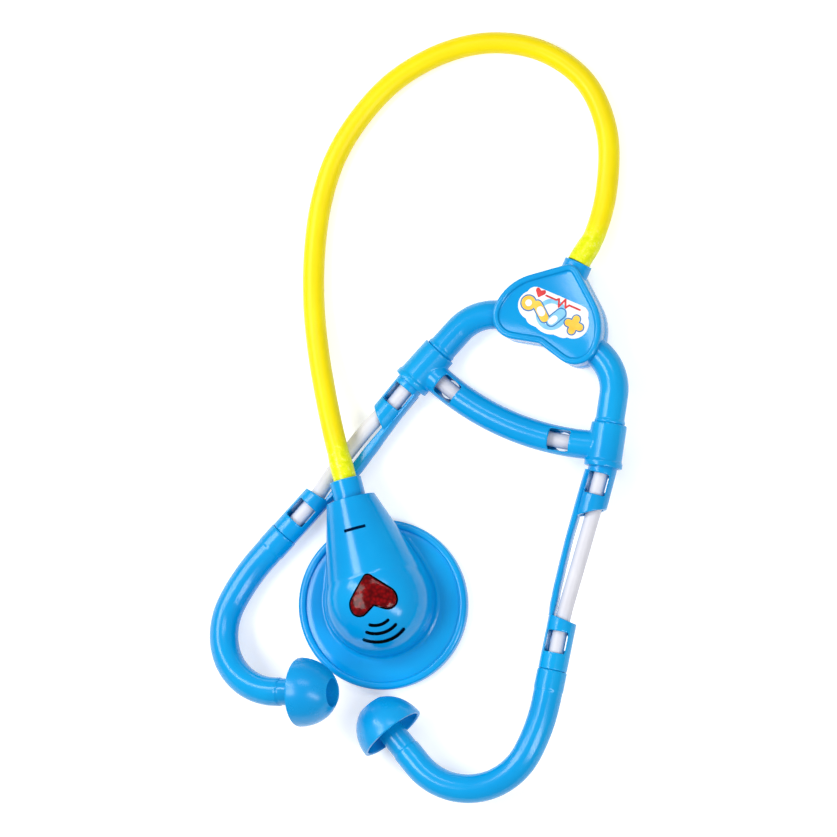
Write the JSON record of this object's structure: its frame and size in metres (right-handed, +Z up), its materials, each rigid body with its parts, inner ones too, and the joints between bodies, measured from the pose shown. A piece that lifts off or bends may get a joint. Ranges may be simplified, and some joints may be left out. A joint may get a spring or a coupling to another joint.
{
  "type": "toy stethoscope",
  "caption": "Toy stethoscope lying on a table: a headset with ear tubes and turning ear tips, a looped hose, and a chest piece with a heart-shaped push button",
  "frame": {"origin": "centre of the chest piece's flat underside, on the table", "axes": "+Y along the headset towards its yoke and hose, +X to the right arm, +Z up from the table"},
  "size_m": [0.1795, 0.2938, 0.0414],
  "materials": {
    "blue": "glossy moulded ABS, light blue",
    "ear_tip": "glossy soft PVC, light blue",
    "hose": "soft glossy PVC hose, yellow, semi-clear over the barbs",
    "white_rod": "satin white plastic",
    "heart": "clear dark red plastic",
    "label": "printed vinyl sticker",
    "steel": "zinc or nickel plated",
    "board": "solder mask",
    "black": "moulded",
    "soft_white": "silicone"
  },
  "bodies": {
    "frame": {"yoke_front_shell": "blue", "yoke_rear_shell": "blue", "yoke_label": "label", "yoke_screw_1": "steel", "yoke_screw_2": "steel", "yoke_screw_3": "steel", "yoke_connector": "blue", "left_upper_arm": "blue", "right_upper_arm": "blue", "crossbar_frame": "blue", "crossbar_rod": "white_rod", "left_arm_link": "blue", "right_arm_link": "blue", "left_link_rod": "white_rod", "right_link_rod": "white_rod", "sound_tube": "hose", "chest_connector": "blue", "chest_top_shell": "blue", "chest_base_plate": "blue", "base_screw_1": "steel", "base_screw_2": "steel", "base_screw_3": "steel", "battery_door": "blue", "battery_door_screw": "steel", "button_cell_1": "steel", "button_cell_2": "steel", "button_cell_3": "steel", "battery_contact_plus": "steel", "battery_contact_minus": "steel", "circuit_board": "board", "return_dome": "soft_white", "light": "heart", "tact_switch": "black", "speaker": "black"},
    "left_lower_arm": {"left_arm_strip": "blue", "left_arm_rod": "white_rod", "left_ear_socket": "blue"},
    "right_lower_arm": {"right_arm_strip": "blue", "right_arm_rod": "white_rod", "right_ear_socket": "blue"},
    "left_ear": {"left_ear_tube": "blue"},
    "right_ear": {"right_ear_tube": "blue"},
    "left_tip": {"left_ear_tip": "ear_tip"},
    "right_tip": {"right_ear_tip": "ear_tip"},
    "heart": {"heart_button": "heart"}
  },
  "joints": [
    {"name": "left_arm_flex", "type": "hinge", "parent": "frame", "child": "left_lower_arm", "pos_m": [-0.0255, 0.06608, 0.008], "axis": [0, 0, -1], "range_deg": [0, 15], "stiffness_Nm_per_rad": 0.6, "springref_deg": -2.86},
    {"name": "left_ear_swivel", "type": "hinge", "parent": "left_lower_arm", "child": "left_ear", "pos_m": [-0.04675, 0.01248, 0.00708], "axis": [-0.3258, -0.9454, -0.0119], "range_deg": [0, 45]},
    {"name": "left_tip_turn", "type": "hinge", "parent": "left_ear", "child": "left_tip", "pos_m": [-0.00842, -0.04266, 0.0289], "axis": [0.8834, 0.3574, 0.303], "continuous": true},
    {"name": "right_arm_flex", "type": "hinge", "parent": "frame", "child": "right_lower_arm", "pos_m": [0.05923, 0.06599, 0.01542], "axis": [0, 0, 1], "range_deg": [0, 15], "stiffness_Nm_per_rad": 0.6, "springref_deg": -2.86},
    {"name": "right_ear_swivel", "type": "hinge", "parent": "right_lower_arm", "child": "right_ear", "pos_m": [0.07454, 0.00601, 0.01781], "axis": [-0.2141, 0.9761, -0.0358], "range_deg": [0, 45]},
    {"name": "right_tip_turn", "type": "hinge", "parent": "right_ear", "child": "right_tip", "pos_m": [0.02168, -0.04297, 0.01404], "axis": [-0.8909, 0.4461, -0.0858], "continuous": true},
    {"name": "heart_press", "type": "slide", "parent": "frame", "child": "heart", "axis": [0, 0, -1], "range_m": [0, 0.0012], "stiffness_N_per_m": 800, "springref_m": -0.0003, "deforming": ["return_dome"]}
  ]
}
